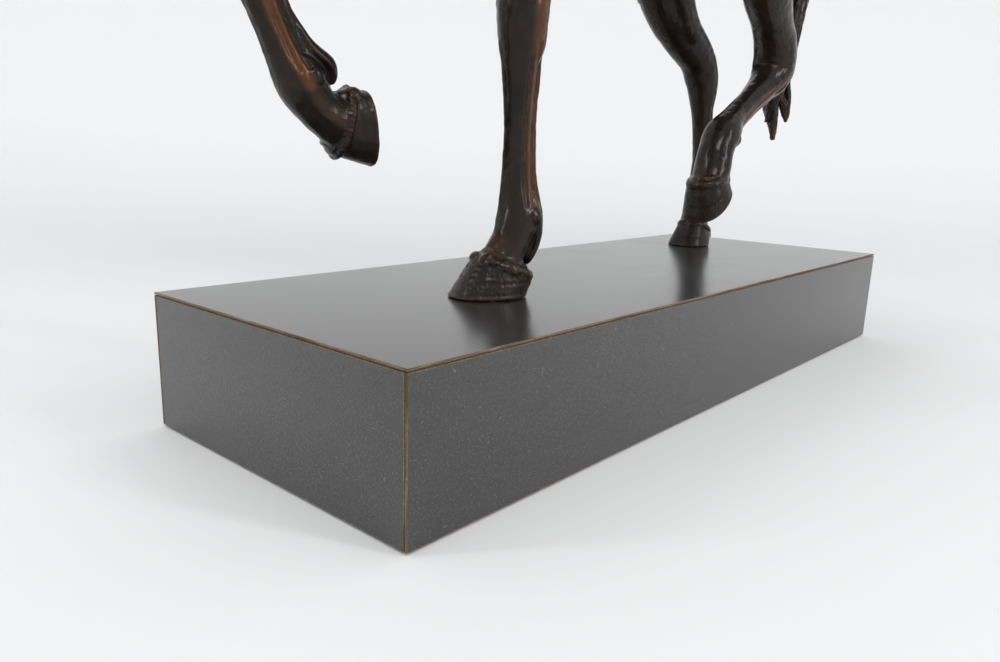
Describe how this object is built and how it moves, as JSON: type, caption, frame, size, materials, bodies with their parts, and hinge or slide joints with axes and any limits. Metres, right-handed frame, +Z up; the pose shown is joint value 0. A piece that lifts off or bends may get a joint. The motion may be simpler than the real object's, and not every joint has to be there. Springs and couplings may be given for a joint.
{
  "type": "horse statue",
  "caption": "Bronze horse at the trot, standing on a diagonal pair of legs on a dark laminate-clad rectangular plinth.",
  "frame": {"origin": "centre of the plinth's felt underside", "axes": "+Z up; the plinth's length runs along X and the horse faces -X; its left side faces -Y"},
  "size_m": [0.5869, 0.16, 0.5511],
  "materials": {
    "bronze": "dark brown-black patinated bronze, waxed, rubbed through to chestnut on the high edges",
    "laminate": "charcoal-black satin decorative laminate with a brown core edge",
    "fibreboard": "raw medium-density fibreboard",
    "plywood": "raw plywood and softwood",
    "felt": "dark green baize",
    "steel": "zinc-plated steel fixings"
  },
  "bodies": {
    "root": {"laminate_top": "laminate", "laminate_left": "laminate", "laminate_right": "laminate", "laminate_front": "laminate", "laminate_rear": "laminate", "top_board": "fibreboard", "side_rail_left": "fibreboard", "side_rail_right": "fibreboard", "end_rail_front": "fibreboard", "end_rail_rear": "fibreboard", "block_front_left": "plywood", "screw_front_left": "steel", "block_front_right": "plywood", "screw_front_right": "steel", "block_middle_left": "plywood", "screw_middle_left": "steel", "block_middle_right": "plywood", "screw_middle_right": "steel", "block_rear_left": "plywood", "screw_rear_left": "steel", "block_rear_right": "plywood", "screw_rear_right": "steel", "closing_panel": "plywood", "felt_sheet": "felt", "stud_left_fore": "steel", "washer_left_fore": "steel", "nut_left_fore": "steel", "stud_right_hind": "steel", "washer_right_hind": "steel", "nut_right_hind": "steel", "left_fore_upper": "bronze", "left_fore_lower": "bronze", "pin_left_fore": "steel", "right_fore_upper": "bronze", "right_fore_lower": "bronze", "pin_right_fore": "steel", "left_hind_upper": "bronze", "left_hind_lower": "bronze", "pin_left_hind": "steel", "right_hind_upper": "bronze", "right_hind_lower": "bronze", "pin_right_hind": "steel", "head": "bronze", "neck": "bronze", "tail": "bronze", "tail_dowel": "steel", "forequarters": "bronze", "hindquarters": "bronze", "sleeve_body": "bronze"}
  },
  "joints": []
}
